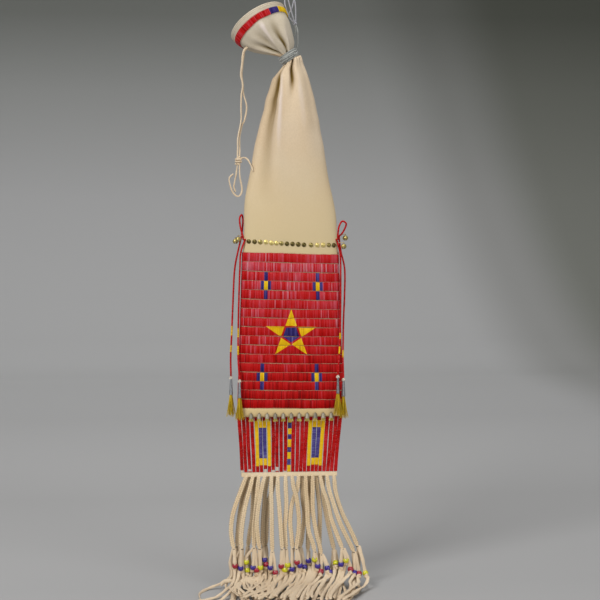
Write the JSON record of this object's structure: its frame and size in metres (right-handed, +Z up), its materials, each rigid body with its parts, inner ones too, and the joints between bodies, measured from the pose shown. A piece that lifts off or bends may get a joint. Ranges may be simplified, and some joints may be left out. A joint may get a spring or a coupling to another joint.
{
  "type": "quilled pipe bag",
  "caption": "Narrow buckskin bag tied at the neck, with a flared mouth, a quilled panel, wrapped rawhide slats and a braided, beaded fringe.",
  "frame": {"origin": "the top of the hanging cord's loop, where a peg or nail holds the bag", "axes": "+Z up along the hanging bag, +X to the right and -Y towards the viewer of its front"},
  "size_m": [0.3769, 0.212, 0.9684],
  "materials": {
    "hide": "soft suede",
    "hide_thong": "soft suede",
    "red_quill": "dyed quill, satin",
    "yellow_quill": "dyed quill, satin",
    "blue_quill": "dyed quill, satin",
    "brass": "aged",
    "tin": "dull tin",
    "grey_yarn": "spun yarn"
  },
  "bodies": {
    "bag": {"hide_bag": "hide", "mouth_band_yellow": "yellow_quill", "mouth_band_blue": "blue_quill", "mouth_band_red": "red_quill", "neck_tie": "grey_yarn", "front_quill_panel": "red_quill", "back_quill_panel": "red_quill", "star_points": "yellow_quill", "star_centre": "blue_quill", "brass_spots": "brass", "bottom_welt": "hide", "rawhide_slats": "red_quill", "hanging_cord": "grey_yarn", "hanging_loop": "grey_yarn", "hanging_knot": "grey_yarn", "drawstring_first_strand": "hide_thong", "drawstring_second_strand": "hide_thong", "drawstring_loop": "hide_thong", "drawstring_short_end": "hide_thong", "drawstring_tail": "hide_thong", "drawstring_knot": "hide_thong", "fringe_front": "hide_thong", "fringe_back": "hide_thong", "cross_blue_1": "blue_quill", "cross_yellow_1": "yellow_quill", "cross_blue_2": "blue_quill", "cross_yellow_2": "yellow_quill", "cross_blue_3": "blue_quill", "cross_yellow_3": "yellow_quill", "cross_blue_4": "blue_quill", "cross_yellow_4": "yellow_quill", "left_outer_thong": "red_quill", "left_outer_cone": "tin", "left_inner_thong": "red_quill", "left_inner_cone": "tin", "right_outer_thong": "red_quill", "right_outer_cone": "tin", "right_inner_thong": "red_quill", "right_inner_cone": "tin"},
    "small_cone_01": {"small_cone_01": "tin"},
    "small_cone_02": {"small_cone_02": "tin"},
    "small_cone_03": {"small_cone_03": "tin"},
    "small_cone_04": {"small_cone_04": "tin"},
    "small_cone_05": {"small_cone_05": "tin"},
    "small_cone_06": {"small_cone_06": "tin"},
    "small_cone_07": {"small_cone_07": "tin"},
    "small_cone_08": {"small_cone_08": "tin"},
    "small_cone_09": {"small_cone_09": "tin"},
    "small_cone_10": {"small_cone_10": "tin"},
    "small_cone_11": {"small_cone_11": "tin"},
    "left_front_bell": {"left_front_bell": "brass"},
    "left_rear_bell": {"left_rear_bell": "brass"},
    "right_front_bell": {"right_front_bell": "brass"},
    "right_rear_bell": {"right_rear_bell": "brass"}
  },
  "joints": [
    {"name": "small_cone_01_swing", "type": "hinge", "parent": "bag", "child": "small_cone_01", "pos_m": [-0.065, -0.01261, -0.684], "axis": [-1, 0, 0], "range_deg": [0, 60]},
    {"name": "small_cone_02_swing", "type": "hinge", "parent": "bag", "child": "small_cone_02", "pos_m": [-0.052, -0.0138, -0.684], "axis": [-1, 0, 0], "range_deg": [0, 60]},
    {"name": "small_cone_03_swing", "type": "hinge", "parent": "bag", "child": "small_cone_03", "pos_m": [-0.039, -0.01449, -0.684], "axis": [-1, 0, 0], "range_deg": [0, 60]},
    {"name": "small_cone_04_swing", "type": "hinge", "parent": "bag", "child": "small_cone_04", "pos_m": [-0.026, -0.01486, -0.684], "axis": [-1, 0, 0], "range_deg": [0, 60]},
    {"name": "small_cone_05_swing", "type": "hinge", "parent": "bag", "child": "small_cone_05", "pos_m": [-0.013, -0.01503, -0.684], "axis": [-1, 0, 0], "range_deg": [0, 60]},
    {"name": "small_cone_06_swing", "type": "hinge", "parent": "bag", "child": "small_cone_06", "pos_m": [0, -0.0151, -0.684], "axis": [-1, 0, 0], "range_deg": [0, 60]},
    {"name": "small_cone_07_swing", "type": "hinge", "parent": "bag", "child": "small_cone_07", "pos_m": [0.013, -0.01503, -0.684], "axis": [-1, 0, 0], "range_deg": [0, 60]},
    {"name": "small_cone_08_swing", "type": "hinge", "parent": "bag", "child": "small_cone_08", "pos_m": [0.026, -0.01486, -0.684], "axis": [-1, 0, 0], "range_deg": [0, 60]},
    {"name": "small_cone_09_swing", "type": "hinge", "parent": "bag", "child": "small_cone_09", "pos_m": [0.039, -0.01449, -0.684], "axis": [-1, 0, 0], "range_deg": [0, 60]},
    {"name": "small_cone_10_swing", "type": "hinge", "parent": "bag", "child": "small_cone_10", "pos_m": [0.052, -0.0138, -0.684], "axis": [-1, 0, 0], "range_deg": [0, 60]},
    {"name": "small_cone_11_swing", "type": "hinge", "parent": "bag", "child": "small_cone_11", "pos_m": [0.065, -0.01261, -0.684], "axis": [-1, 0, 0], "range_deg": [0, 60]},
    {"name": "left_front_bell_swing", "type": "hinge", "parent": "bag", "child": "left_front_bell", "pos_m": [-0.085, -0.009, -0.3965], "axis": [0.7911, 0.6117, 0], "range_deg": [-45, 45]},
    {"name": "left_rear_bell_swing", "type": "hinge", "parent": "bag", "child": "left_rear_bell", "pos_m": [-0.0885, 0.0105, -0.4], "axis": [0.7697, -0.6385, 0], "range_deg": [-45, 45]},
    {"name": "right_front_bell_swing", "type": "hinge", "parent": "bag", "child": "right_front_bell", "pos_m": [0.085, -0.014, -0.408], "axis": [-0.8238, 0.5669, 0], "range_deg": [-45, 45]},
    {"name": "right_rear_bell_swing", "type": "hinge", "parent": "bag", "child": "right_rear_bell", "pos_m": [0.0905, 0.011, -0.395], "axis": [-0.721, -0.6929, 0], "range_deg": [-45, 45]}
  ]
}
